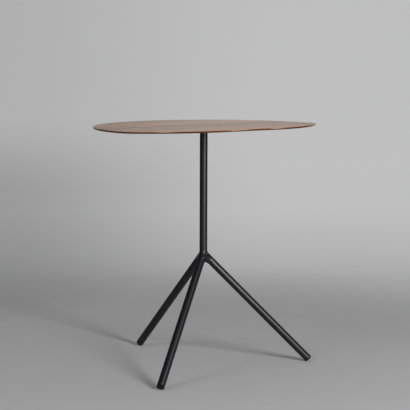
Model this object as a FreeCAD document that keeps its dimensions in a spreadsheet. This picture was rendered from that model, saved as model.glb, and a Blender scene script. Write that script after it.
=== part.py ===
import FreeCAD, Part
import math
import os
import Sketcher

# Small side table: a thin walnut top with one slightly dished side, on a tripod of steel tube.
# The origin is on the column's axis at floor level and +Z is up. The dished side of the top
# faces -Y, the back leg points along +Y, and the table is the same on both sides of X = 0.

doc = FreeCAD.newDocument("SideTable")
sheet = doc.addObject("Spreadsheet::Sheet", "dims")

# Driving dimensions, in millimetres, with angles in degrees
sizes = {
    # Whole table
    "overall_height": 500,
    # Outline of the top, seen from above
    "top_back_radius": 250,
    "top_centre_offset": 42.5,
    "dip_distance": 144,
    "dip_radius": 390,
    "dip_half_width": 35,
    "shoulder_radius": 279,
    "corner_radius": 51,
    # Section of the top: a thin rim, an undercut below it, then a shallow bevel
    "top_thickness": 10,
    "rim_height": 1.7,
    "top_edge_chamfer": 0.7,
    "undercut_height": 2.4,
    "undercut_share": 0.991,
    "underside_share": 0.45,
    "board_width": 90,
    # Steel plate let into the underside of the top
    "plate_diameter": 112,
    "plate_thickness": 3,
    "plate_chamfer": 0.5,
    "plate_clearance": 0.5,
    # Countersunk screws and threaded inserts
    "screw_circle_diameter": 88,
    "screw_count": 6,
    "screw_diameter": 5,
    "screw_bite": 5,
    "screw_hole_clearance": 0.5,
    "head_diameter": 10,
    "head_rim": 0.3,
    "socket_width": 3,
    "socket_depth": 1.6,
    "insert_diameter": 8,
    "insert_length": 5.5,
    "insert_groove_depth": 0.6,
    "insert_groove_width": 0.7,
    "insert_fit": 0.1,
    "insert_hole_spare": 0.5,
    "thread_clearance": 0.2,
    # Column, legs and their welds
    "tube_diameter": 16,
    "tube_wall": 1.5,
    "hub_height": 235.5,
    "leg_lean_angle": 44.4,
    "plate_weld_size": 4,
    "hub_weld_radius": 12,
    "hub_weld_width": 8,
    "hub_weld_sink": 1.2,
    # Foot plugs
    "plug_flange_thickness": 3,
    "plug_edge_radius": 1,
    "plug_barrel_length": 16,
    "plug_barrel_wall": 1.6,
    "plug_rib_height": 1,
    "plug_rib_width": 1.5,
    "plug_rib_pitch": 4,
    "plug_rib_count": 3,
    "plug_fit": 0.1,
    # Length by which a cutting tool passes the solid that it cuts
    "cut_overrun": 20,
}
for row, (alias, number) in enumerate(sizes.items(), start=1):
    sheet.set("A%d" % row, alias)
    sheet.set("B%d" % row, str(number))
    sheet.setAlias("B%d" % row, alias)
doc.recompute()

# Directions in which the three legs point, as angles from +X
leg_azimuths = {"back": 90, "left": 210, "right": 330}

# Derived sizes, as expressions on the sheet
tube_radius = "(dims.tube_diameter / 2)"
bore_radius = "(dims.tube_diameter / 2 - dims.tube_wall)"
lean = "dims.leg_lean_angle"
foot_rise = (
    "((dims.tube_diameter / 2 - dims.plug_edge_radius) * sin(dims.leg_lean_angle)"
    " + dims.plug_edge_radius * (1 - cos(dims.leg_lean_angle)))"
)
leg_length = (
    "((dims.hub_height - %s) / cos(dims.leg_lean_angle) - dims.plug_flange_thickness)" % foot_rise
)
underside_height = "(dims.overall_height - dims.top_thickness)"
plate_top = "(dims.overall_height - dims.top_thickness + dims.plate_thickness)"
screw_radius = "(dims.screw_circle_diameter / 2)"
screw_hole_radius = "((dims.screw_diameter + dims.screw_hole_clearance) / 2)"
cone_end = "(dims.head_rim + (dims.head_diameter - dims.screw_diameter) / 2)"


def value(expression):
    return float(sheet.evalExpression(expression))


def bind(piece, expressions):
    for path, expression in expressions.items():
        piece.setExpression(path, expression)


def new_body(label):
    body = doc.addObject("PartDesign::Body", label)
    body.Label = label
    body.AllowCompound = True
    return body


def new_sketch(body, name, role, offsets=None):
    # Sketch on one of the body's origin planes, moved by expressions on the offset's x, y or z
    sketch = body.newObject("Sketcher::SketchObject", name)
    plane = [item for item in body.Origin.OriginFeatures if item.Role == role][0]
    sketch.AttachmentSupport = [(plane, "")]
    sketch.MapMode = "FlatFace"
    for axis, expression in (offsets or {}).items():
        sketch.setExpression("AttachmentOffset.Base." + axis, expression)
    return sketch


def dimension(sketch, kind, places, expression):
    index = sketch.addConstraint(Sketcher.Constraint(kind, *places, value(expression)))
    sketch.setExpression("Constraints[%d]" % index, expression)


def add_feature(body, kind, name, profile):
    feature = body.newObject(kind, name)
    feature.Profile = profile
    return feature


def edge_names(feature, wanted):
    return ["Edge%d" % n for n, edge in enumerate(feature.Shape.Edges, start=1) if wanted(edge)]


def add_circle(sketch, x, radius):
    # Circle on the sketch's X axis
    middle = FreeCAD.Vector(value(x), 0, 0)
    circle = sketch.addGeometry(Part.Circle(middle, FreeCAD.Vector(0, 0, 1), value(radius)), False)
    sketch.addConstraint(Sketcher.Constraint("PointOnObject", circle, 3, -1))
    dimension(sketch, "DistanceX", (-1, 1, circle, 3), x)
    dimension(sketch, "Radius", (circle,), radius)


def add_polygon(sketch, points):
    # Closed outline through (x, y) expressions, each corner dimensioned from the origin
    places = [FreeCAD.Vector(value(x), value(y), 0) for x, y in points]
    count = len(places)
    for n in range(count):
        sketch.addGeometry(Part.LineSegment(places[n], places[(n + 1) % count]), False)
    for n in range(count):
        sketch.addConstraint(Sketcher.Constraint("Coincident", n, 2, (n + 1) % count, 1))
    for n, (x, y) in enumerate(points):
        dimension(sketch, "DistanceX", (-1, 1, n, 1), x)
        dimension(sketch, "DistanceY", (-1, 1, n, 1), y)


def turned_profile(body, name, points, axis_distance=None, kind="PartDesign::Revolution"):
    # Section of (distance from the axis, height), turned about an upright axis
    offsets = {"x": axis_distance} if axis_distance else None
    sketch = new_sketch(body, name, "XZ_Plane", offsets)
    add_polygon(sketch, points)
    turned = add_feature(body, kind, name + "_turned", sketch)
    turned.ReferenceAxis = (sketch, ["V_Axis"])
    turned.Angle = 360
    return turned


def ring_of(body, name, sketch, features):
    # Repeats the features round the column, once for each screw
    pattern = body.newObject("PartDesign::PolarPattern", name)
    pattern.Originals = features
    pattern.Axis = (sketch, ["N_Axis"])
    pattern.Angle = 360
    pattern.setExpression("Occurrences", "dims.screw_count")
    body.Tip = pattern


def top_outline(body, name, height, share):
    # Six tangent arcs, anticlockwise from the dip: dip, shoulder, corner, back, corner, shoulder
    scale = value(share)
    back = value("dims.top_back_radius") * scale
    corner = value("dims.corner_radius") * scale
    shoulder = value("dims.shoulder_radius") * scale
    dip = value("dims.dip_radius") * scale
    half_width = value("dims.dip_half_width") * scale
    back_centre = FreeCAD.Vector(0, -value("dims.top_centre_offset") * scale, 0)
    dip_centre = FreeCAD.Vector(0, -value("dims.dip_distance") * scale - dip, 0)
    turn_point = dip_centre + FreeCAD.Vector(half_width, math.sqrt(dip**2 - half_width**2), 0)
    shoulder_centre = dip_centre + (turn_point - dip_centre) * ((dip + shoulder) / dip)
    # The corner's centre is at a known distance from the back's centre and the shoulder's centre
    apart = shoulder_centre - back_centre
    gap = apart.Length
    along = ((back - corner) ** 2 - (shoulder - corner) ** 2 + gap**2) / (2 * gap)
    across = math.sqrt((back - corner) ** 2 - along**2)
    ahead = FreeCAD.Vector(apart).normalize()
    sideways = FreeCAD.Vector(ahead.y, -ahead.x, 0)
    corner_centre = back_centre + ahead * along + sideways * across

    def heading(origin, target):
        return math.atan2(target.y - origin.y, target.x - origin.x)

    def mirrored(centre):
        return FreeCAD.Vector(-centre.x, centre.y, 0)

    turn_angle = heading(dip_centre, turn_point)
    shoulder_start = turn_angle - math.pi
    shoulder_end = heading(shoulder_centre, corner_centre)
    corner_end = heading(back_centre, corner_centre)
    arcs = [
        (dip_centre, dip, turn_angle, math.pi - turn_angle),
        (shoulder_centre, shoulder, shoulder_start, shoulder_end),
        (corner_centre, corner, shoulder_end, corner_end),
        (back_centre, back, corner_end, math.pi - corner_end),
        (mirrored(corner_centre), corner, math.pi - corner_end, math.pi - shoulder_end),
        (mirrored(shoulder_centre), shoulder, math.pi - shoulder_end, math.pi - shoulder_start),
    ]
    sketch = new_sketch(body, name, "XY_Plane", {"z": height})
    for centre, radius, start, end in arcs:
        circle = Part.Circle(centre, FreeCAD.Vector(0, 0, 1), radius)
        sketch.addGeometry(Part.ArcOfCircle(circle, start, end), False)
    # The dip curves the other way, so its ends run in the opposite order
    joints = [(0, 1, 1, 1), (1, 2, 2, 1), (2, 2, 3, 1), (3, 2, 4, 1), (4, 2, 5, 1), (5, 2, 0, 2)]
    for joint in joints:
        sketch.addConstraint(Sketcher.Constraint("Tangent", *joint))
    sketch.addConstraint(Sketcher.Constraint("Symmetric", 0, 2, 0, 1, -2))
    sketch.addConstraint(Sketcher.Constraint("PointOnObject", 3, 3, -2))
    sketch.addConstraint(Sketcher.Constraint("Equal", 1, 5))
    sketch.addConstraint(Sketcher.Constraint("Equal", 2, 4))
    dimension(sketch, "Radius", (0,), "dims.dip_radius * " + share)
    dimension(sketch, "Radius", (1,), "dims.shoulder_radius * " + share)
    dimension(sketch, "Radius", (2,), "dims.corner_radius * " + share)
    dimension(sketch, "Radius", (3,), "dims.top_back_radius * " + share)
    dimension(sketch, "DistanceX", (0, 2, 0, 1), "2 * dims.dip_half_width * " + share)
    dimension(sketch, "DistanceY", (0, 3, -1, 1), "(dims.dip_distance + dims.dip_radius) * " + share)
    dimension(sketch, "DistanceY", (3, 3, -1, 1), "dims.top_centre_offset * " + share)
    return sketch


def make_panel():
    # The glued blank: rim, undercut and bevel, eased upper edge, plate recess and blind insert holes
    body = new_body("top_panel")
    body.setExpression("Placement.Base.z", "dims.overall_height - dims.rim_height")
    bevel_depth = "(dims.top_thickness - dims.rim_height)"
    rim = top_outline(body, "rim_outline", "0", "1")
    pad = add_feature(body, "PartDesign::Pad", "rim", rim)
    pad.setExpression("Length", "dims.rim_height")
    undercut = top_outline(body, "undercut_outline", "-dims.undercut_height", "dims.undercut_share")
    underside = top_outline(body, "underside_outline", "-" + bevel_depth, "dims.underside_share")
    doc.recompute()
    bevel = add_feature(body, "PartDesign::AdditiveLoft", "bevel", rim)
    bevel.Sections = [undercut, underside]
    bevel.Ruled = True
    doc.recompute()
    edging = body.newObject("PartDesign::Chamfer", "top_edge")
    on_top = edge_names(bevel, lambda edge: edge.BoundBox.ZMin > value("dims.rim_height") / 2)
    edging.Base = (bevel, on_top)
    edging.setExpression("Size", "dims.top_edge_chamfer")
    doc.recompute()
    recess = new_sketch(body, "plate_recess", "XY_Plane", {"z": "-" + bevel_depth})
    add_circle(recess, "0", "dims.plate_diameter / 2 + dims.plate_clearance")
    recess_cut = add_feature(body, "PartDesign::Pocket", "plate_recess_cut", recess)
    recess_cut.setExpression("Length", "dims.plate_thickness")
    recess_cut.Reversed = True
    doc.recompute()
    hole = new_sketch(body, "insert_hole", "XY_Plane", {"z": "dims.plate_thickness - " + bevel_depth})
    add_circle(hole, screw_radius, "dims.insert_diameter / 2 + dims.insert_fit")
    pocket = add_feature(body, "PartDesign::Pocket", "insert_hole_cut", hole)
    pocket.setExpression("Length", "dims.insert_length + dims.insert_hole_spare")
    pocket.Reversed = True
    ring_of(body, "insert_holes", hole, [pocket])
    return body


def make_boards(panel):
    # Four edge-glued boards: joints lie one board width apart about the middle of the depth
    middle = "(dims.top_back_radius - dims.top_centre_offset - dims.dip_distance) / 2"
    reach = "(dims.top_back_radius + dims.cut_overrun)"
    outer_width = "(dims.top_back_radius + dims.dip_distance)"
    starts = {
        "top_board_front": (middle + " - dims.board_width - " + outer_width, outer_width),
        "top_board_mid_front": (middle + " - dims.board_width", "dims.board_width"),
        "top_board_mid_back": (middle, "dims.board_width"),
        "top_board_back": (middle + " + dims.board_width", outer_width),
    }
    boards = []
    for label, (start, width) in starts.items():
        blank = doc.addObject("Part::Box", label + "_blank")
        bind(blank, {
            "Length": "2 * " + reach,
            "Width": width,
            "Height": "dims.top_thickness + 2 * dims.cut_overrun",
            "Placement.Base.x": "-" + reach,
            "Placement.Base.y": start,
            "Placement.Base.z": underside_height + " - dims.cut_overrun",
        })
        board = doc.addObject("Part::Common", label)
        board.Base = panel
        board.Tool = blank
        board.Label = label
        boards.append(board)
    return boards


def make_plate():
    # Flush with the underside, with a countersunk hole for each screw
    body = new_body("top_plate")
    body.setExpression("Placement.Base.z", underside_height)
    disc = new_sketch(body, "plate_disc", "XY_Plane")
    add_circle(disc, "0", "dims.plate_diameter / 2")
    pad = add_feature(body, "PartDesign::Pad", "plate", disc)
    pad.setExpression("Length", "dims.plate_thickness")
    doc.recompute()
    chamfer = body.newObject("PartDesign::Chamfer", "plate_edge")
    low_edge = edge_names(pad, lambda edge: edge.BoundBox.ZMax < value("dims.plate_thickness") / 2)
    chamfer.Base = (pad, low_edge)
    chamfer.setExpression("Size", "dims.plate_chamfer")
    doc.recompute()
    head_room = "(dims.head_diameter + dims.screw_hole_clearance) / 2"
    through = "dims.plate_thickness + dims.cut_overrun"
    points = [
        ("0", "-dims.cut_overrun"),
        (head_room, "-dims.cut_overrun"),
        (head_room, "dims.head_rim"),
        (screw_hole_radius, cone_end),
        (screw_hole_radius, through),
        ("0", through),
    ]
    seat = turned_profile(body, "screw_seat", points, screw_radius, "PartDesign::Groove")
    ring = new_sketch(body, "seat_ring", "XY_Plane")
    ring_of(body, "screw_seats", ring, [seat])
    return body


def make_inserts():
    # Threaded inserts over the plate; the grooves stand for their coarse outer thread
    body = new_body("threaded_inserts")
    body.setExpression("Placement.Base.z", plate_top)
    outer = "dims.insert_diameter / 2"
    root = "(dims.insert_diameter / 2 - dims.insert_groove_depth)"
    inner = "(dims.screw_diameter + dims.thread_clearance) / 2"
    flank = "dims.insert_groove_width"
    groove_shares = ("1 / 3", "2 / 3")
    points = [(inner, "0"), (outer, "0")]
    for share in groove_shares:
        height = "(dims.insert_length * %s)" % share
        points += [
            (outer, height + " - " + flank),
            (root, height),
            (outer, height + " + " + flank),
        ]
    points += [(outer, "dims.insert_length"), (inner, "dims.insert_length")]
    turned = turned_profile(body, "insert_section", points, screw_radius)
    ring = new_sketch(body, "insert_ring", "XY_Plane")
    ring_of(body, "insert_set", ring, [turned])
    return body


def make_screws():
    # Countersunk screws with a hexagon socket, entered from below and flush with the plate
    body = new_body("plate_screws")
    body.setExpression("Placement.Base.z", underside_height)
    shank = "dims.screw_diameter / 2"
    tip = "dims.plate_thickness + dims.screw_bite"
    head = "dims.head_diameter / 2"
    points = [
        ("0", "0"),
        (head, "0"),
        (head, "dims.head_rim"),
        (shank, cone_end),
        (shank, tip),
        ("0", tip),
    ]
    turned = turned_profile(body, "screw_section", points, screw_radius)
    doc.recompute()
    socket = new_sketch(body, "socket", "XY_Plane")
    corners = []
    for angle in range(0, 360, 60):
        across = "%s + dims.socket_width / sqrt(3) * cos(%d)" % (screw_radius, angle)
        corners.append((across, "dims.socket_width / sqrt(3) * sin(%d)" % angle))
    add_polygon(socket, corners)
    pocket = add_feature(body, "PartDesign::Pocket", "socket_cut", socket)
    pocket.setExpression("Length", "dims.socket_depth")
    pocket.Reversed = True
    doc.recompute()
    ring_of(body, "screw_set", socket, [turned, pocket])
    return body


def make_plate_weld():
    # Fillet weld round the column, under the plate
    body = new_body("plate_weld")
    body.setExpression("Placement.Base.z", underside_height)
    toe = tube_radius + " + dims.plate_weld_size"
    points = [(tube_radius, "0"), (tube_radius, "-dims.plate_weld_size"), (toe, "0")]
    turned_profile(body, "weld_section", points)
    return body


def tube_piece(label, length, placement):
    # Tube from the hub outwards, returned with the solid rod of its outside
    outer = doc.addObject("Part::Cylinder", label + "_outside")
    inner = doc.addObject("Part::Cylinder", label + "_bore")
    bind(outer, {"Radius": tube_radius, "Height": length})
    bind(inner, {"Radius": bore_radius, "Height": length + " + dims.cut_overrun"})
    for piece in (outer, inner):
        place_at_hub(piece, *placement)
    tube = doc.addObject("Part::Cut", label + "_drawn")
    tube.Base = outer
    tube.Tool = inner
    return tube, outer


def place_at_hub(piece, azimuth, tilt):
    # Puts the piece's base at the hub, with its axis tilted from +Z towards the azimuth
    turn = math.radians(azimuth)
    axis = FreeCAD.Vector(-math.sin(turn), math.cos(turn), 0)
    piece.Placement = FreeCAD.Placement(FreeCAD.Vector(), FreeCAD.Rotation(axis, value(tilt)))
    bind(piece, {"Placement.Base.z": "dims.hub_height", "Placement.Rotation.Angle": tilt})


def mitre_disc(label, azimuth, tilt):
    # Thick disc with its base on the plane that halves the angle between the column and a leg
    disc = doc.addObject("Part::Cylinder", label)
    reach = "dims.tube_diameter + dims.cut_overrun"
    bind(disc, {"Radius": reach, "Height": reach})
    place_at_hub(disc, azimuth, tilt)
    return disc


def make_column():
    length = "(%s - dims.hub_height)" % underside_height
    tube = tube_piece("column", length, (0, "0"))[0]
    below = []
    for name, azimuth in leg_azimuths.items():
        below.append(mitre_disc("column_mitre_" + name, azimuth, "180 - %s / 2" % lean))
    mitres = doc.addObject("Part::MultiFuse", "column_mitres")
    mitres.Shapes = below
    column = doc.addObject("Part::Cut", "column_tube")
    column.Base = tube
    column.Tool = mitres
    column.Label = "column_tube"
    return column


def make_leg(name, azimuth):
    # A leg keeps its own third of the circle and stays under its mitre with the column
    label = "leg_" + name
    tube, outer = tube_piece(label, leg_length, (azimuth, "180 - " + lean))
    third = doc.addObject("Part::Cylinder", label + "_third")
    third.Angle = 120
    bind(third, {
        "Radius": leg_length + " + dims.cut_overrun",
        "Height": "dims.hub_height + 2 * dims.cut_overrun",
        "Placement.Base.z": "-dims.cut_overrun",
    })
    third.Placement.Rotation = FreeCAD.Rotation(FreeCAD.Vector(0, 0, 1), azimuth - 60)
    kept = doc.addObject("Part::Common", label + "_kept")
    kept.Base = tube
    kept.Tool = third
    leg = doc.addObject("Part::Cut", label)
    leg.Base = kept
    leg.Tool = mitre_disc(label + "_mitre", azimuth + 180, lean + " / 2")
    leg.Label = label
    return leg, outer


def make_hub_weld(leg_outsides):
    # Weld webs in the three crotches: a hollow arc between neighbouring legs, cut to their tubes
    half_sine = "(sqrt(3) / 2 * sin(dims.leg_lean_angle))"
    inner_reach = "(dims.tube_diameter / 2 - dims.hub_weld_sink)"
    centre_depth = "((%s + dims.hub_weld_radius) / %s)" % (inner_reach, half_sine)
    touch_x = "(dims.hub_weld_radius * sqrt(1 - %s ^ 2))" % half_sine
    touch_z = "(%s - dims.hub_weld_radius * %s)" % (centre_depth, half_sine)
    tilt = "atan(tan(dims.leg_lean_angle) / 2)"
    names = list(leg_azimuths)
    webs = []
    for n, name in enumerate(names):
        follower = names[(n + 1) % len(names)]
        body = new_body("hub_web_" + name)
        between = leg_azimuths[name] + 60
        profile = new_sketch(body, "web_" + name, "XZ_Plane")
        profile.AttachmentOffset.Rotation = FreeCAD.Rotation(FreeCAD.Vector(0, 1, 0), between + 90)
        touch = FreeCAD.Vector(value(touch_x), -value(touch_z), 0)
        other = FreeCAD.Vector(-touch.x, touch.y, 0)
        middle = FreeCAD.Vector(0, -value(centre_depth), 0)
        circle = Part.Circle(middle, FreeCAD.Vector(0, 0, 1), value("dims.hub_weld_radius"))
        start = math.atan2(touch.y - middle.y, touch.x - middle.x)
        profile.addGeometry(Part.LineSegment(FreeCAD.Vector(), touch), False)
        profile.addGeometry(Part.ArcOfCircle(circle, start, math.pi - start), False)
        profile.addGeometry(Part.LineSegment(other, FreeCAD.Vector()), False)
        profile.addConstraint(Sketcher.Constraint("Coincident", 0, 1, -1, 1))
        profile.addConstraint(Sketcher.Constraint("Coincident", 0, 2, 1, 1))
        profile.addConstraint(Sketcher.Constraint("Coincident", 1, 2, 2, 1))
        profile.addConstraint(Sketcher.Constraint("Coincident", 2, 2, -1, 1))
        dimension(profile, "Radius", (1,), "dims.hub_weld_radius")
        dimension(profile, "DistanceX", (-1, 1, 0, 2), touch_x)
        dimension(profile, "DistanceX", (2, 1, -1, 1), touch_x)
        dimension(profile, "DistanceY", (0, 2, -1, 1), touch_z)
        dimension(profile, "DistanceY", (2, 1, -1, 1), touch_z)
        pad = add_feature(body, "PartDesign::Pad", "web_pad_" + name, profile)
        pad.setExpression("Length", "dims.hub_weld_width")
        pad.Midplane = True
        place_at_hub(body, between, "-" + tilt)
        first = doc.addObject("Part::Cut", "hub_web_first_" + name)
        first.Base = body
        first.Tool = leg_outsides[name]
        second = doc.addObject("Part::Cut", "hub_web_second_" + name)
        second.Base = first
        second.Tool = leg_outsides[follower]
        webs.append(second)
    weld = doc.addObject("Part::Compound", "hub_weld")
    weld.Links = webs
    weld.Label = "hub_weld"
    return weld


def make_foot_plug(name, azimuth):
    # Plastic plug: a flange flush with the tube and a ribbed, hollow barrel; local +Z points outwards
    body = new_body("foot_plug_" + name)
    barrel = "(%s - dims.plug_fit - dims.plug_rib_height)" % bore_radius
    rib = "(%s - dims.plug_fit)" % bore_radius
    hollow = "(%s - dims.plug_barrel_wall)" % barrel
    points = [
        ("0", "0"),
        (hollow, "0"),
        (hollow, "-dims.plug_barrel_length"),
        (barrel, "-dims.plug_barrel_length"),
    ]
    for n in range(int(value("dims.plug_rib_count")), 0, -1):
        low = "-%d * dims.plug_rib_pitch" % n
        high = low + " + dims.plug_rib_width"
        points += [(barrel, low), (rib, low), (rib, high), (barrel, high)]
    points += [
        (barrel, "0"),
        (tube_radius, "0"),
        (tube_radius, "dims.plug_flange_thickness"),
        ("0", "dims.plug_flange_thickness"),
    ]
    turned = turned_profile(body, "plug_section_" + name, points)
    doc.recompute()
    rounding = body.newObject("PartDesign::Fillet", "plug_edge_" + name)
    middle = value("dims.plug_flange_thickness") / 2
    end_edge = edge_names(turned, lambda edge: edge.BoundBox.ZMin > middle and edge.Closed)
    rounding.Base = (turned, end_edge)
    rounding.setExpression("Radius", "dims.plug_edge_radius")
    place_at_hub(body, azimuth, "180 - " + lean)
    bind(body, {
        "Placement.Base.x": "%s * sin(%s) * cos(%d)" % (leg_length, lean, azimuth),
        "Placement.Base.y": "%s * sin(%s) * sin(%d)" % (leg_length, lean, azimuth),
        "Placement.Base.z": "dims.hub_height - %s * cos(%s)" % (leg_length, lean),
    })
    return body


def check_and_write(pieces):
    doc.recompute()
    for item in doc.Objects:
        if "Invalid" in item.State or "Error" in item.State:
            raise RuntimeError("%s did not build: %s" % (item.Label, item.State))
    for piece in pieces:
        if piece.Shape.isNull() or not piece.Shape.isValid() or not piece.Shape.Solids:
            raise RuntimeError("%s has no valid solid" % piece.Label)
    os.makedirs("parts", exist_ok=True)
    for piece in pieces:
        piece.Shape.exportStep("parts/%s.step" % piece.Label)
        box = piece.Shape.optimalBoundingBox()
        print("%-22s solids %d volume %10.1f z %7.2f to %7.2f" % (
            piece.Label, len(piece.Shape.Solids), piece.Shape.Volume, box.ZMin, box.ZMax))


panel = make_panel()
pieces = make_boards(panel)
pieces += [make_plate(), make_inserts(), make_screws(), make_plate_weld(), make_column()]
leg_outsides = {}
for leg_name, leg_azimuth in leg_azimuths.items():
    leg, leg_outsides[leg_name] = make_leg(leg_name, leg_azimuth)
    pieces.append(leg)
    pieces.append(make_foot_plug(leg_name, leg_azimuth))
pieces.append(make_hub_weld(leg_outsides))
check_and_write(pieces)
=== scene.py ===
import math

import bmesh
import bpy
import numpy as np
import openvdb
from mathutils import Matrix, Vector, noise


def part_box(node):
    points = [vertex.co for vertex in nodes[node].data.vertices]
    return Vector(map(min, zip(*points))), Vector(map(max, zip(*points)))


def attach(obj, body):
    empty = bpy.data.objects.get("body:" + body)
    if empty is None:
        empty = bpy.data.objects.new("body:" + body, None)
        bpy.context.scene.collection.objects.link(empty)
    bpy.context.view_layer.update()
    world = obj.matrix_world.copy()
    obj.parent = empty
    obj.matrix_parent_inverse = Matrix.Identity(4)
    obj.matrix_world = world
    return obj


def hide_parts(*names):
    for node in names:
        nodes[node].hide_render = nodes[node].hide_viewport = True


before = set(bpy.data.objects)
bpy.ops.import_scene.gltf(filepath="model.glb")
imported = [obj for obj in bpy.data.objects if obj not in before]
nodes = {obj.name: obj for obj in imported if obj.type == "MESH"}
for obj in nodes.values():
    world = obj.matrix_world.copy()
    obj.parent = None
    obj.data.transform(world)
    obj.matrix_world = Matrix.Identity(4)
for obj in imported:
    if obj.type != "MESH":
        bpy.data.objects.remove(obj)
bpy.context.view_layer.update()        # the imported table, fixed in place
mm = 0.001
print("frame loaded:", len(nodes), "nodes")

# what several pieces share
columnLow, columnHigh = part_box("column_tube")
tubeRadius = (columnHigh.x - columnLow.x) / 2
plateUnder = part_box("top_plate")[0].z
legAzimuths = {"leg_back": 90, "leg_left": 210, "leg_right": 330}        # degrees round from +X


class Wire:
    # one output of a node; sums written with it add Math nodes to its tree
    def __init__(self, tree, socket):
        self.tree = tree
        self.socket = socket

    def __getitem__(self, output):
        # another output of the same node
        return Wire(self.tree, self.socket.node.outputs[output])

    def maths(self, operation, *values):
        return self.tree.node("ShaderNodeMath", {"operation": operation}, dict(enumerate(values)))

    def __add__(self, other):
        return self.maths("ADD", self, other)

    def __radd__(self, other):
        return self.maths("ADD", other, self)

    def __sub__(self, other):
        return self.maths("SUBTRACT", self, other)

    def __rsub__(self, other):
        return self.maths("SUBTRACT", other, self)

    def __mul__(self, other):
        return self.maths("MULTIPLY", self, other)

    def __rmul__(self, other):
        return self.maths("MULTIPLY", other, self)

    def __truediv__(self, other):
        return self.maths("DIVIDE", self, other)

    def __rtruediv__(self, other):
        return self.maths("DIVIDE", other, self)

    def root(self):
        return self.maths("SQRT", self)

    def fraction(self):
        return self.maths("FRACT", self)

    def larger(self, other):
        return self.maths("MAXIMUM", self, other)

    def step(self, low, high):
        # soft step from 0 at low to 1 at high
        settings = {"interpolation_type": "SMOOTHSTEP"}
        sockets = {"Value": self, "From Min": low, "From Max": high}
        return self.tree.node("ShaderNodeMapRange", settings, sockets)

    def between(self, low, high):
        # low where this is 0, high where it is 1
        return low + self * (high - low)


class Tree:
    # a node tree, and the one way in which nodes are added to it
    def __init__(self, nodeTree):
        self.nodeTree = nodeTree

    def node(self, kind, settings=None, sockets=None):
        made = self.nodeTree.nodes.new(kind)
        for key, value in (settings or {}).items():
            if key == "stops":
                self.setStops(made.color_ramp, value)
            else:
                setattr(made, key, value)
        for key, value in (sockets or {}).items():
            self.feed(made.inputs[key], value)
        return Wire(self, made.outputs[0])

    def setStops(self, ramp, stops):
        while len(ramp.elements) < len(stops):
            ramp.elements.new(1.0)
        for element, (position, colour) in zip(ramp.elements, stops):
            element.position = position
            element.color = colour

    def feed(self, socket, value):
        if isinstance(value, Wire):
            self.nodeTree.links.new(value.socket, socket)
        else:
            socket.default_value = value

    def vectors(self, operation, first, second):
        return self.node("ShaderNodeVectorMath", {"operation": operation}, {0: first, 1: second})

    def axes(self, vector):
        return self.node("ShaderNodeSeparateXYZ", None, {0: vector})

    def grain(self, place, scale, detail=2.0, roughness=0.5):
        # noise with so many lumps to the metre, alike all ways or given along x, y and z
        perMetre = scale if isinstance(scale, tuple) else (scale, scale, scale)
        stretched = self.vectors("MULTIPLY", place, perMetre)
        sockets = {"Vector": stretched, "Scale": 1.0, "Detail": detail, "Roughness": roughness}
        return self.node("ShaderNodeTexNoise", None, sockets)

    def grey(self, value):
        return self.node("ShaderNodeCombineColor", None, {0: value, 1: value, 2: value})

    def mixed(self, factor, first, second, blend="MIX"):
        # a Mix node's colours are its inputs 6 and 7, and their mix is its output 2
        settings = {"data_type": "RGBA", "blend_type": blend}
        return self.node("ShaderNodeMix", settings, {0: factor, 6: first, 7: second})[2]


class Finish(Tree):
    # a material around one Principled shader
    def __init__(self, name):
        self.material = bpy.data.materials.new(name)
        self.material.use_nodes = True
        super().__init__(self.material.node_tree)
        self.shader = self.nodeTree.nodes["Principled BSDF"]
        self.place = self.node("ShaderNodeTexCoord")["Object"]

    def set(self, **values):
        for key, value in values.items():
            self.feed(self.shader.inputs[key.replace("_", " ")], value)

    def bump(self, height, strength, depth):
        sockets = {"Strength": strength, "Distance": depth, "Height": height}
        self.set(Normal=self.node("ShaderNodeBump", None, sockets))


def rgba(colour, tone=1.0):
    return (*(part * tone for part in colour), 1.0)


# Walnut top

walnutLook = {
    "early": (0.415, 0.236, 0.141),
    "middle": (0.348, 0.191, 0.106),
    "late": (0.197, 0.100, 0.056),
    "streak": (0.165, 0.088, 0.056),
    "worn": (0.31, 0.145, 0.078),            # a darker, more orange colour on the arris
    "edgeTint": (0.20, 0.118, 0.072),        # painted shade on the edge: what it keeps of each colour
    "ringStops": ((0.00, "early"), (0.45, "middle"), (0.86, "late"), (1.00, "early")),
    "warp": {"scale": (3.0, 11.0, 11.0), "detail": 3.0},
    "warpReach": 30.0 * mm,                  # how far the rings are pushed about
    "drift": {"scale": (1.2, 30.0, 30.0)},
    "driftRings": 2.2,                       # and by how many of themselves they drift
    "figure": {"scale": (2.0, 16.0, 16.0)},
    "ringShare": (0.25, 0.75),               # least and most that shows of the rings
    "streaks": {"scale": (1.6, 24.0, 24.0), "detail": 3.0},
    "streakRange": (0.46, 0.64),
    "streakShare": 0.9,
    "fibre": {"scale": (22.0, 900.0, 900.0), "detail": 3.0, "roughness": 0.6},
    "fibreTones": (0.72, 1.28),
    "pore": {"scale": (130.0, 2400.0, 2400.0), "detail": 1.0},
    "poreRange": (0.60, 0.70),
    "poreShare": 0.42,
    "poreTone": 0.45,
    "rub": {"scale": 60.0, "detail": 3.0},
    "rubShare": (0.55, 1.0),
    # how far a surface faces up where the under side ends, and where the arris starts and ends
    "underEnd": (-0.95, -0.85),
    "arrisStart": (0.35, 0.60),
    "arrisEnd": (0.80, 0.95),
    "roughness": 0.25,
    "fibreRoughness": 0.12,
    "poreRoughness": 0.12,
    "edgeRoughness": 0.20,
    "fibreHeight": 0.5,
    "bumpStrength": 0.3,
    "bumpDepth": 0.06 * mm,
}
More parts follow.
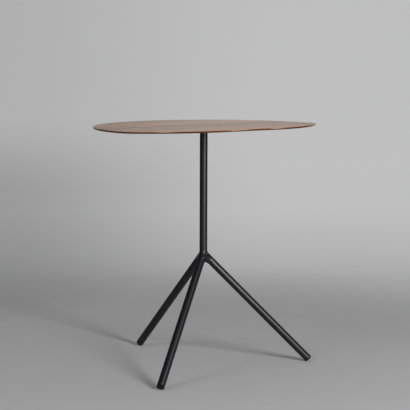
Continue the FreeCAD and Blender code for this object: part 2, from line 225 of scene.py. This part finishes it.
# pith is where the tree's heart lies in y and z, leaning by slope along the board
boardLooks = {
    "top_board_front": {
        "pith": (-0.235, 0.395), "slope": 0.05, "ringWidth": 5.2 * mm, "tone": 1.03, "seed": 1.3,
    },
    "top_board_mid_front": {
        "pith": (-0.012, 0.437), "slope": 0.07, "ringWidth": 5.8 * mm, "tone": 0.93, "seed": 4.1,
    },
    "top_board_mid_back": {
        "pith": (0.160, 0.405), "slope": -0.04, "ringWidth": 4.8 * mm, "tone": 1.10, "seed": 7.7,
    },
    "top_board_back": {
        "pith": (0.168, 0.430), "slope": -0.08, "ringWidth": 6.2 * mm, "tone": 0.97, "seed": 9.2,
    },
}


def ringColour(finish, place, board):
    # growth rings round the pith, which show more in some places than in others
    look = walnutLook
    axes = finish.axes(finish.place)
    across = axes["Y"] - board["pith"][0]
    above = axes["Z"] - board["pith"][1] + axes["X"] * board["slope"]
    warp = (finish.grain(place, **look["warp"]) - 0.5) * look["warpReach"]        # noise lies about 0.5
    radius = (across * across + above * above).root() + warp
    drift = finish.grain(place, **look["drift"]) * look["driftRings"]
    ring = (radius / board["ringWidth"] + drift).fraction()
    stops = [(start, rgba(look[wood], board["tone"])) for start, wood in look["ringStops"]]
    rings = finish.node("ShaderNodeValToRGB", {"stops": stops}, {"Fac": ring})
    shown = finish.grain(place, **look["figure"]).between(*look["ringShare"])
    return finish.mixed(shown, rgba(look["middle"], board["tone"]), rings)


def walnut(name, board):
    look = walnutLook
    tone = board["tone"]
    finish = Finish(name)
    place = finish.vectors("ADD", finish.place, (board["seed"], 0.0, 0.0))
    colour = ringColour(finish, place, board)
    streaks = finish.grain(place, **look["streaks"]).step(*look["streakRange"])
    colour = finish.mixed(streaks * look["streakShare"], colour, rgba(look["streak"], tone))
    fibre = finish.grain(place, **look["fibre"])
    colour = finish.mixed(1.0, colour, finish.grey(fibre.between(*look["fibreTones"])), "MULTIPLY")
    pore = finish.grain(place, **look["pore"]).step(*look["poreRange"])
    colour = finish.mixed(pore * look["poreShare"], colour, rgba(look["late"], look["poreTone"]))
    # the way a surface faces tells the arris and the edge from the flat sides
    facing = finish.axes(finish.node("ShaderNodeNewGeometry")["Normal"])["Z"]
    aboveEdge = facing.step(*look["arrisStart"])
    arris = aboveEdge * (1.0 - facing.step(*look["arrisEnd"]))
    edge = facing.step(*look["underEnd"]) * (1.0 - aboveEdge)
    # the arris gets a darker, more orange colour in patches
    rub = finish.grain(place, **look["rub"]).between(*look["rubShare"])
    colour = finish.mixed(arris * rub, colour, rgba(look["worn"], tone))
    # the edge is painted darker, as painted shade, and is made smoother
    colour = finish.mixed(edge, colour, rgba(look["edgeTint"]), "MULTIPLY")
    flat = look["roughness"] + fibre * look["fibreRoughness"] + pore * look["poreRoughness"]
    finish.set(Base_Color=colour, Roughness=edge.between(flat, look["edgeRoughness"]))
    height = (fibre * look["fibreHeight"] - pore) * (1.0 - edge)
    finish.bump(height, look["bumpStrength"], look["bumpDepth"])
    return finish.material


# Satin black powder coat

coatLook = {
    "dark": (0.0034, 0.0031, 0.0036),
    "pale": (0.0062, 0.0058, 0.0066),
    "peel": {"scale": 1 / (0.9 * mm)},       # the coat's soft orange peel
    "speck": {"scale": 1 / (0.25 * mm), "detail": 1.0},
    "cloud": {"scale": 14.0, "detail": 3.0},
    "cloudShare": 0.5,
    "speckShare": 0.3,
    "scratches": {"scale": (240.0, 240.0, 90.0), "detail": 4.0, "roughness": 0.7},
    "scratchRange": (0.56, 0.68),
    "scuffHeight": 45.0 * mm,                # feet are scuffed up to here
    "scuffShare": 0.5,
    "scuffTone": 2.4,
    "roughness": 0.36,
    "cloudRoughness": 0.06,
    "speckRoughness": 0.04,
    "scuffRoughness": 0.2,
    "gloss": 0.36,
    "glossTint": (0.96, 0.91, 1.0),          # the streak of light on the tubes is faintly violet
    "peelHeight": 0.7,
    "speckHeight": 0.3,
    "bumpStrength": 0.12,
    "bumpDepth": 0.05 * mm,
}


def powderCoat(name):
    look = coatLook
    finish = Finish(name)
    peel = finish.grain(finish.place, **look["peel"])
    speck = finish.grain(finish.place, **look["speck"])
    cloud = finish.grain(finish.place, **look["cloud"])
    scratches = finish.grain(finish.place, **look["scratches"]).step(*look["scratchRange"])
    scuff = scratches * (1.0 - finish.axes(finish.place)["Z"].step(0.0, look["scuffHeight"]))
    paler = cloud * look["cloudShare"] + speck * look["speckShare"]
    colour = finish.mixed(paler, rgba(look["dark"]), rgba(look["pale"]))
    colour = finish.mixed(scuff * look["scuffShare"], colour, rgba(look["pale"], look["scuffTone"]))
    whole = look["roughness"] + cloud * look["cloudRoughness"] + speck * look["speckRoughness"]
    finish.set(Base_Color=colour, Roughness=whole + scuff * look["scuffRoughness"])
    finish.set(Specular_IOR_Level=look["gloss"], Specular_Tint=rgba(look["glossTint"]))
    height = peel * look["peelHeight"] + speck * look["speckHeight"]
    finish.bump(height, look["bumpStrength"], look["bumpDepth"])
    return finish.material


# Plugs, screws and inserts: two colours in clouds, under a fine grain

plasticLook = {
    "dark": (0.0030, 0.0029, 0.0028),
    "pale": (0.0065, 0.0063, 0.0060),
    "cloud": {"scale": 90.0, "detail": 3.0},
    "grain": {"scale": 2600.0},
    "roughness": 0.50,
    "grainRoughness": 0.12,
    "cloudRoughness": 0.08,
    "shader": {"Specular_IOR_Level": 0.25},            # the same all over
    "bumpStrength": 0.3,
    "bumpDepth": 0.04 * mm,
}
zincLook = {
    "dark": (0.50, 0.51, 0.54),
    "pale": (0.70, 0.70, 0.69),
    "cloud": {"scale": 260.0, "detail": 3.0},
    "grain": {"scale": (900.0, 900.0, 2600.0), "detail": 3.0},
    "roughness": 0.26,
    "grainRoughness": 0.12,
    "cloudRoughness": 0.1,
    "shader": {"Metallic": 1.0},
    "bumpStrength": 0.15,
    "bumpDepth": 0.02 * mm,
}
brassLook = {
    "dark": (0.62, 0.44, 0.19),
    "pale": (0.82, 0.64, 0.34),
    "cloud": {"scale": 300.0, "detail": 3.0},
    "grain": {"scale": (200.0, 200.0, 4200.0)},        # turning marks
    "roughness": 0.24,
    "grainRoughness": 0.16,
    "cloudRoughness": 0.0,
    "shader": {"Metallic": 1.0},
    "bumpStrength": 0.2,
    "bumpDepth": 0.02 * mm,
}


def clouded(name, look):
    finish = Finish(name)
    cloud = finish.grain(finish.place, **look["cloud"])
    grain = finish.grain(finish.place, **look["grain"])
    roughness = look["roughness"] + grain * look["grainRoughness"] + cloud * look["cloudRoughness"]
    colour = finish.mixed(cloud, rgba(look["dark"]), rgba(look["pale"]))
    finish.set(Base_Color=colour, Roughness=roughness, **look["shader"])
    finish.bump(grain, look["bumpStrength"], look["bumpDepth"])
    return finish.material


coat = powderCoat("satin_black_coat")
plastic = clouded("matt_black_plastic", plasticLook)
finishes = {
    "top_plate": coat,
    "column_tube": coat,
    "plate_screws": clouded("zinc_plate", zincLook),
    "threaded_inserts": clouded("turned_brass", brassLook),
}
for legName in legAzimuths:
    finishes[legName] = coat
    finishes[legName.replace("leg", "foot_plug")] = plastic
for boardName, boardLook in boardLooks.items():
    finishes[boardName] = walnut("walnut_" + boardName, boardLook)
for nodeName, material in finishes.items():
    nodes[nodeName].data.materials.clear()
    nodes[nodeName].data.materials.append(material)
print("finishes set on", len(finishes), "nodes")


def newPiece(name, points, faces, replaced, lump=None):
    # a closed, smooth weld in the tubes' coat; lump says how far each point moves out
    mesh = bpy.data.meshes.new(name)
    mesh.from_pydata(points, [], faces)
    mesh.materials.append(coat)
    shape = bmesh.new()
    shape.from_mesh(mesh)
    bmesh.ops.recalc_face_normals(shape, faces=shape.faces[:])
    shape.normal_update()
    if lump:
        for vertex in shape.verts:
            vertex.co += vertex.normal * lump(vertex.co)
    for face in shape.faces:
        face.smooth = True
    shape.to_mesh(mesh)
    shape.free()
    piece = bpy.data.objects.new(name, mesh)
    bpy.context.scene.collection.objects.link(piece)
    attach(piece, "root")
    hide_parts(replaced)
    return piece


# Ground weld where the legs meet the column

hubLook = {
    "legBlend": 13.0 * mm,       # width over which two legs run into each other
    "legStart": (4.0 * mm, 12.0 * mm),       # how far out in the crotch that starts and is full
    "columnBlend": 2.6 * mm,
    "columnStart": (3.0 * mm, 8.0 * mm),
    "leastBlend": 0.1 * mm,
    "endDepth": 0.3 * mm,        # how deep a tube's end ring is looked for
    "reach": 31.0 * mm,          # the weld ends this far from the hub
    "fade": 6.0 * mm,            # and sinks into the tubes over this length
    "proud": 0.05 * mm,          # stands over the tubes by this much, so the mitres don't show
    "voxel": 0.6 * mm,
    "marginCells": 4,            # empty cells round the weld
    "settleSteps": 2,
    "nudge": 0.03 * mm,          # the slope is measured over twice this length
    "leastSlope": 0.25,
    "unevenness": 0.05 * mm,
    "unevenSize": 7.0 * mm,
}


def ringCentre(nodeName, way):
    # middle of the square end that a round node turns towards the given way
    points = np.array([vertex.co for vertex in nodes[nodeName].data.vertices])
    reach = points @ np.array(way)
    return points[reach > reach.max() - hubLook["endDepth"]].mean(axis=0)


def hubPlace():
    # the back leg's end and its plug's inner end lie on the leg's axis, which meets the column at the hub
    outer = ringCentre("leg_back", (0.0, 1.0, -1.0))
    inner = ringCentre("foot_plug_back", (0.0, -1.0, 1.0))
    run, drop = outer[1] - inner[1], inner[2] - outer[2]
    return outer[2] + outer[1] * drop / run, math.atan2(run, drop)


def legAxis(azimuth):
    # from the hub down a leg
    turn = math.radians(azimuth)
    flat = math.sin(legLean)
    return np.array((flat * math.cos(turn), flat * math.sin(turn), -math.cos(legLean)))


hubHeight, legLean = hubPlace()
legAxes = [legAxis(azimuth) for azimuth in legAzimuths.values()]
upright = np.array((0.0, 0.0, 1.0))
print("hub at %.5f m, legs lean %.3f degrees" % (hubHeight, math.degrees(legLean)))


def tubeDistance(points, axis):
    along = np.maximum(points @ axis, 0.0)
    return np.linalg.norm(points - along[..., None] * axis, axis=-1) - tubeRadius


def blended(first, second, width):
    # the smaller of two distances, rounded where they are within width of each other
    overlap = np.maximum(width - np.abs(first - second), 0.0) / width
    return np.minimum(first, second) - overlap * overlap * width / 4


def softStep(value, low, high):
    share = np.clip((value - low) / (high - low), 0.0, 1.0)
    return share * share * (3.0 - 2.0 * share)


def crotchWidth(points, first, second, width, start):
    # blend width between two tubes: full in the crotch, next to nothing round the back
    middle = (first + second) / np.linalg.norm(first + second)
    return np.maximum(width * softStep(points @ middle, *start), hubLook["leastBlend"])


def hubDistance(points):
    # distance to the four tubes, run together in the crotches
    look = hubLook
    legs = [tubeDistance(points, axis) for axis in legAxes]
    crotches = []
    for first, second in ((0, 1), (1, 2), (2, 0)):
        axes = (legAxes[first], legAxes[second])
        crotches.append(crotchWidth(points, *axes, look["legBlend"], look["legStart"]))
    shoulders = []
    for axis in legAxes:
        shoulders.append(crotchWidth(points, axis, upright, look["columnBlend"], look["columnStart"]))
    pair = blended(legs[0], legs[1], crotches[0])
    tripod = blended(pair, legs[2], np.maximum(crotches[1], crotches[2]))
    tubes = blended(tripod, tubeDistance(points, upright), np.maximum.reduce(shoulders))
    # proud near the hub, and as deep inside the tubes at the ends
    fromHub = np.linalg.norm(points, axis=-1)
    ending = softStep(fromHub, look["reach"] - look["fade"], look["reach"])
    return np.maximum(tubes - look["proud"] * (1.0 - 2.0 * ending), fromHub - look["reach"])


def settled(points):
    # a few steps along the slope put each point right on the surface
    nudge = hubLook["nudge"]
    for repeat in range(hubLook["settleSteps"]):
        slopes = []
        for way in np.eye(3) * nudge:
            slopes.append((hubDistance(points + way) - hubDistance(points - way)) / (2 * nudge))
        slope = np.stack(slopes, axis=-1)
        steepness = np.maximum((slope * slope).sum(axis=1), hubLook["leastSlope"])
        points = points - slope * (hubDistance(points) / steepness)[:, None]
    return points


def makeHubWeld():
    look = hubLook
    count = int(look["reach"] / look["voxel"]) + look["marginCells"]
    steps = np.arange(-count, count + 1) * look["voxel"]
    cells = np.stack(np.meshgrid(steps, steps, steps, indexing="ij"), axis=-1)
    grid = openvdb.FloatGrid(1.0)        # far outside, where nothing is set
    grid.copyFromArray(hubDistance(cells).astype(np.float32))
    corners, quads = grid.convertToQuads(0.0)
    points = settled((np.array(corners, float) - count) * look["voxel"])
    centre = Vector((0.0, 0.0, hubHeight))

    def lump(place):
        # uneven by hand grinding, less so towards the ends
        fade = 1.0 - (place - centre).length / (look["reach"] - look["fade"])
        return max(fade, 0.0) * look["unevenness"] * noise.noise(place / look["unevenSize"])

    points = [centre + Vector(point) for point in points]
    return newPiece("hub_weld_ground", points, quads.tolist(), "hub_weld", lump)


hubWeld = makeHubWeld()
print("hub weld made")

# Weld bead round the top of the column

beadLook = {
    "size": 4.0 * mm,
    "wander": 0.07,              # share by which the size comes and goes
    "wanderRate": 2.3,
    "bulge": 0.9 * mm,
    "ripples": 34,
    "rippleHeight": 0.22 * mm,
    "rippleLag": 2.2,            # radians by which a ripple trails in the middle of the bead
    "innerShare": 0.97,          # the corner that the tube hides, as a share of its radius
    "stepsRound": 272,
    "stepsAcross": 12,
}


def makePlateBead():
    look = beadLook
    slant = math.sqrt(0.5)       # the bead swells outwards and down alike
    points = []
    for n in range(look["stepsRound"]):
        turn = 2 * math.pi * n / look["stepsRound"]
        out = Vector((math.cos(turn), math.sin(turn), 0.0))
        size = look["size"] * (1.0 + look["wander"] * noise.noise(out * look["wanderRate"]))
        for m in range(look["stepsAcross"] + 1):
            share = m / look["stepsAcross"]
            swell = math.sin(math.pi * share)
            ripple = look["rippleHeight"] * math.sin(look["ripples"] * turn - look["rippleLag"] * swell)
            lift = (look["bulge"] + ripple) * swell * slant
            drop = size * (1.0 - share) + lift
            points.append(out * (tubeRadius + size * share + lift) + Vector((0.0, 0.0, plateUnder - drop)))
        points.append(out * tubeRadius * look["innerShare"] + Vector((0.0, 0.0, plateUnder)))
    row = look["stepsAcross"] + 2
    faces = []
    for n in range(look["stepsRound"]):
        here = n * row
        after = (n + 1) % look["stepsRound"] * row
        for m in range(row):
            beside = (m + 1) % row
            faces.append((here + m, after + m, after + beside, here + beside))
    return newPiece("plate_weld_bead", points, faces, "plate_weld")


makePlateBead()
print("plate bead made")

# Camera, at the photograph's place

cameraView = {
    "azimuthDeg": -38.61,        # where it stands, round from -Y
    "reach": 2.6743,
    "height": 0.6579,
    "headingDeg": -38.676,       # where it looks
    "pitchDeg": -6.866,
    "rollDeg": 0.206,
    "lensMm": 114.72,
    "sensorMm": 36.0,
    "clipEnd": 100.0,
}


def makeCamera():
    view = cameraView
    data = bpy.data.cameras.new("camera")
    data.lens = view["lensMm"]
    data.sensor_width = view["sensorMm"]
    data.clip_end = view["clipEnd"]
    camera = bpy.data.objects.new("camera", data)
    bpy.context.scene.collection.objects.link(camera)
    azimuth = math.radians(view["azimuthDeg"])
    heading = math.radians(view["headingDeg"])
    level = math.radians(90.0)   # a camera that isn't turned looks straight down
    pitch = Matrix.Rotation(level + math.radians(view["pitchDeg"]), 4, "X")
    roll = Matrix.Rotation(math.radians(view["rollDeg"]), 4, "Z")
    flat = Vector((math.sin(azimuth), -math.cos(azimuth), 0.0)) * view["reach"]
    spot = Matrix.Translation((flat.x, flat.y, view["height"]))
    camera.matrix_world = spot @ Matrix.Rotation(heading, 4, "Z") @ pitch @ roll
    bpy.context.scene.camera = camera
    right = Vector((math.cos(heading), math.sin(heading), 0.0))
    ahead = Vector((-math.sin(heading), math.cos(heading), 0.0))
    return right, ahead


photoRight, photoAhead = makeCamera()
print("camera placed")

# Lamps: a key and a fill for what is matt, and soft strips that show only in the gloss

# level is the brightness that the lamp alone gives a white surface facing it
lamps = {
    "key": {
        "azimuthDeg": -92.3, "elevationDeg": 21.0, "distance": 3.2, "size": (0.45, 1.50),
        "level": 1.15, "shows": "diffuse",
    },
    "fill": {
        "azimuthDeg": -178.7, "elevationDeg": 32.0, "distance": 3.0, "size": (0.9, 0.9),
        "level": 0.20, "shows": "diffuse",
    },
    "tubeStreak": {
        "azimuthDeg": -92.3, "elevationDeg": 18.0, "distance": 3.2, "size": (0.8, 1.9),
        "level": 1.95, "shows": "gloss", "only": "tubes",
    },
    "rimGlint": {
        "azimuthDeg": -45.0, "elevationDeg": 0.4, "distance": 2.6, "size": (0.50, 0.24),
        "level": 0.12, "shows": "gloss", "only": "frontBoard", "colour": (1.0, 0.76, 0.58),
    },
    "rimSheen": {
        "azimuthDeg": -110.0, "elevationDeg": 0.4, "distance": 2.6, "size": (0.55, 0.24),
        "level": 0.10, "shows": "gloss", "only": "frontBoard", "colour": (1.0, 0.82, 0.68),
    },
}
lampTarget = Vector((0.0, 0.0, 0.30))
# the streak is meant for the black tubes and the glints for the front edge of the top
lampGroups = {
    "tubes": [nodes["column_tube"], *(nodes[legName] for legName in legAzimuths), hubWeld],
    "frontBoard": [nodes["top_board_front"]],
}


def makeLamps():
    groups = {}
    for groupName, pieces in lampGroups.items():
        groups[groupName] = bpy.data.collections.new(groupName)
        for piece in pieces:
            groups[groupName].objects.link(piece)
    for name, lamp in lamps.items():
        data = bpy.data.lights.new(name, "AREA")
        data.shape = "RECTANGLE"
        data.size, data.size_y = lamp["size"]
        data.energy = lamp["level"] * math.pi ** 2 * lamp["distance"] ** 2
        data.color = lamp.get("colour", (1.0, 1.0, 1.0))
        turn = math.radians(lamp["azimuthDeg"])
        rise = math.radians(lamp["elevationDeg"])
        away = Vector((math.cos(turn) * math.cos(rise), math.sin(turn) * math.cos(rise), math.sin(rise)))
        light = bpy.data.objects.new(name, data)
        light.location = lampTarget + away * lamp["distance"]
        light.rotation_mode = "QUATERNION"
        light.rotation_quaternion = away.to_track_quat("Z", "Y")
        light.visible_diffuse = lamp["shows"] == "diffuse"
        light.visible_glossy = lamp["shows"] == "gloss"
        if "only" in lamp:
            light.light_linking.receiver_collection = groups[lamp["only"]]
        bpy.context.scene.collection.objects.link(light)


makeLamps()
print("lamps made:", len(lamps))

# Backdrop, and the dim room that gloss shows away from it

# heights are sines of the angle above the horizon, sides are sines to the photograph's right
backdropLook = {
    "tones": (
        (-0.30, 0.30), (-0.175, 0.375), (-0.154, 0.44),
        (-0.125, 0.50), (-0.09, 0.508), (0.05, 0.50),
    ),
    "blue": 1.004,
    "sides": (-0.17, 0.06),          # it gets brighter from the first to the second
    "rightLevel": 1.03,
    "leftLoss": (0.39, 0.17),        # how much darker the left is, near the floor and high up
    "lossHeights": (-0.11, -0.05),
    "sheenSides": (-0.13, 0.02),     # and so does what gloss shows of it
    "sheenLevels": (0.54, 1.27),     # share of the tones that gloss shows, left and right
}
roomLook = {
    "backdropEdge": (0.60, 0.93),    # cosines from straight ahead where it gives way to the backdrop
    "behind": (-0.9, -0.2),          # and where the lit part behind the camera ends
    "ceiling": (0.1, 0.5),
    "lit": 0.55,
    "unlit": 0.06,
    "ambient": (0.28, 0.42),         # soft light on what is matt, from below and from above
    "ambientHeights": (-0.1, 0.1),
}


def backdropColour(tree, rise, sideways, mirrored):
    look = backdropLook
    lowest = look["tones"][0][0]
    span = look["tones"][-1][0] - lowest
    stops = []
    for sine, level in look["tones"]:
        stops.append(((sine - lowest) / span, rgba((level, level, level * look["blue"]))))
    tone = tree.node("ShaderNodeValToRGB", {"stops": stops}, {"Fac": (rise - lowest) / span})
    loss = rise.step(*look["lossHeights"]).between(*look["leftLoss"])
    plain = look["rightLevel"] - loss * (1.0 - sideways.step(*look["sides"]))
    sheen = sideways.step(*look["sheenSides"]).between(*look["sheenLevels"])
    return tree.mixed(1.0, tone, tree.grey(mirrored.between(plain, sheen)), "MULTIPLY")


def makeWorld():
    look = roomLook
    world = bpy.data.worlds.new("studio")
    world.use_nodes = True
    bpy.context.scene.world = world
    tree = Tree(world.node_tree)
    direction = tree.node("ShaderNodeTexCoord")["Generated"]
    rise = tree.axes(direction)["Z"]
    sideways = tree.vectors("DOT_PRODUCT", direction, photoRight)["Value"]
    ahead = tree.vectors("DOT_PRODUCT", direction, photoAhead)["Value"]
    rays = tree.node("ShaderNodeLightPath")
    mirrored = rays["Is Glossy Ray"].larger(rays["Is Transmission Ray"])
    backdrop = backdropColour(tree, rise, sideways, mirrored)
    near = (1.0 - ahead.step(*look["behind"])) * (1.0 - rise.step(*look["ceiling"]))
    room = tree.grey(near.between(look["unlit"], look["lit"]))
    shown = tree.mixed(mirrored * (1.0 - ahead.step(*look["backdropEdge"])), backdrop, room)
    ambient = tree.grey(rise.step(*look["ambientHeights"]).between(*look["ambient"]))
    colour = tree.mixed(rays["Is Camera Ray"].larger(mirrored), ambient, shown)
    tree.feed(world.node_tree.nodes["Background"].inputs["Color"], colour)


makeWorld()
print("backdrop made")

# Floor of grey paper, which fades into the backdrop

floorLook = {
    "colour": (0.332, 0.332, 0.335),
    "mottle": {"scale": 9.0, "detail": 4.0},
    "mottleTones": (0.97, 1.03),
    "roughness": 0.9,
    "gloss": 0.0,
    "radius": 2.4,
    "segments": 96,
    "fade": (0.50, 1.30),            # distances from the column between which it fades
}


def studioPaper(name):
    look = floorLook
    finish = Finish(name)
    mottle = finish.grain(finish.place, **look["mottle"])
    dark, pale = (rgba(look["colour"], tone) for tone in look["mottleTones"])
    finish.set(Base_Color=finish.mixed(mottle, dark, pale))
    finish.set(Roughness=look["roughness"], Specular_IOR_Level=look["gloss"])
    axes = finish.axes(finish.place)
    distance = (axes["X"] * axes["X"] + axes["Y"] * axes["Y"]).root()
    # a camera under the floor looks up through it
    under = finish.node("ShaderNodeNewGeometry")["Backfacing"]
    direct = finish.node("ShaderNodeLightPath")["Is Camera Ray"]
    finish.set(Alpha=(1.0 - distance.step(*look["fade"])) * (1.0 - under * direct))
    return finish.material


def makeFloor():
    look = floorLook
    shape = bmesh.new()
    bmesh.ops.create_circle(shape, cap_ends=True, radius=look["radius"], segments=look["segments"])
    mesh = bpy.data.meshes.new("floor")
    shape.to_mesh(mesh)
    shape.free()
    mesh.materials.append(studioPaper("studio_paper"))
    floor = bpy.data.objects.new("floor", mesh)
    bpy.context.scene.collection.objects.link(floor)


makeFloor()
bpy.context.scene.view_settings.view_transform = "Standard"
print("floor laid")
